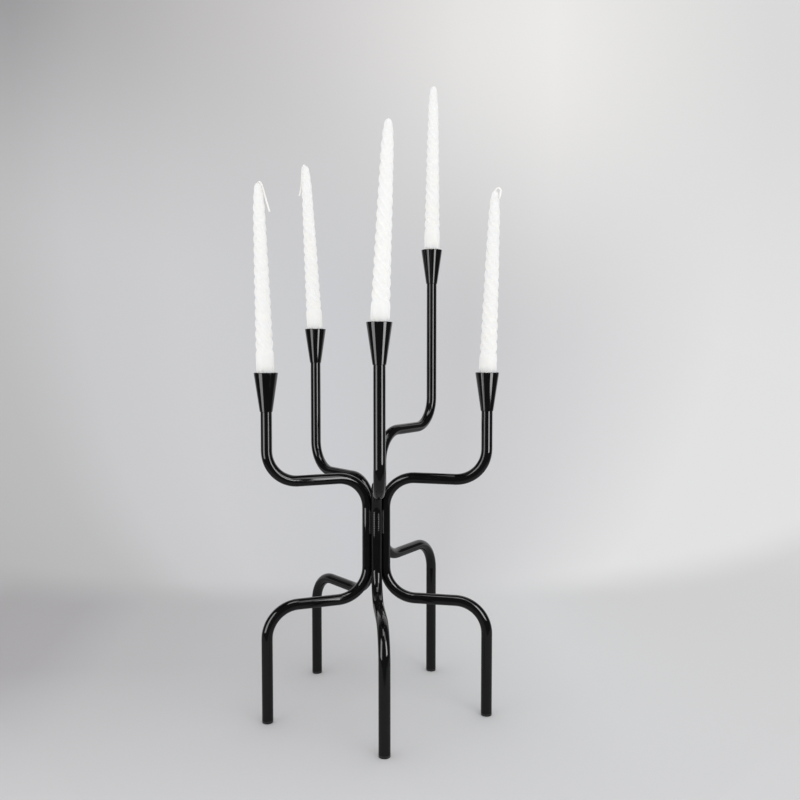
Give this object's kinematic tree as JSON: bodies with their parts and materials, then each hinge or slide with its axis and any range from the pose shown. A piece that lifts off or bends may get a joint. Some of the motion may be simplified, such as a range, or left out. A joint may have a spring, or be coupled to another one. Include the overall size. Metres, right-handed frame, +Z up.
{
  "type": "candelabra",
  "caption": "Tabletop candelabra of bent round black tube welded into one trunk, with turned cups at staggered heights holding twisted white taper candles.",
  "frame": {"origin": "on the tabletop, under the axis of the trunk", "axes": "+Z up; the front tube's leg and arm point along -Y; +X is to the right seen from the front"},
  "size_m": [0.263, 0.2545, 0.7248],
  "materials": {
    "black_enamel": "gloss black stoved enamel on steel",
    "black_plastic": "moulded satin black plastic",
    "wax": "smooth white candle wax",
    "waxed_cotton": "braided cotton stiffened with wax"
  },
  "bodies": {
    "stand": {"tube_left": "black_enamel", "tube_front": "black_enamel", "tube_right": "black_enamel", "tube_back_right": "black_enamel", "tube_back_left": "black_enamel", "cup_left": "black_enamel", "cup_front": "black_enamel", "cup_right": "black_enamel", "cup_back_right": "black_enamel", "cup_back_left": "black_enamel", "plug_left": "black_plastic", "plug_front": "black_plastic", "plug_right": "black_plastic", "plug_back_right": "black_plastic", "plug_back_left": "black_plastic", "weld_left": "black_enamel", "weld_front": "black_enamel", "weld_right": "black_enamel", "weld_back_right": "black_enamel", "weld_back_left": "black_enamel"},
    "left_candle": {"candle_left": "wax", "wick_left": "waxed_cotton"},
    "front_candle": {"candle_front": "wax", "wick_front": "waxed_cotton"},
    "right_candle": {"candle_right": "wax", "wick_right": "waxed_cotton"},
    "back_right_candle": {"candle_back_right": "wax", "wick_back_right": "waxed_cotton"},
    "back_left_candle": {"candle_back_left": "wax", "wick_back_left": "waxed_cotton"}
  },
  "joints": [
    {"name": "lift_left", "type": "slide", "parent": "stand", "child": "left_candle", "axis": [-0.0314, 0, 0.9995], "range_m": [0, 0.04]},
    {"name": "lift_front", "type": "slide", "parent": "stand", "child": "front_candle", "axis": [0.0436, 0, 0.999], "range_m": [0, 0.04]},
    {"name": "lift_right", "type": "slide", "parent": "stand", "child": "right_candle", "axis": [0.0366, 0, 0.9993], "range_m": [0, 0.04]},
    {"name": "lift_back_right", "type": "slide", "parent": "stand", "child": "back_right_candle", "axis": [0.0087, 0, 1], "range_m": [0, 0.04]},
    {"name": "lift_back_left", "type": "slide", "parent": "stand", "child": "back_left_candle", "axis": [-0.0523, 0, 0.9986], "range_m": [0, 0.04]}
  ]
}
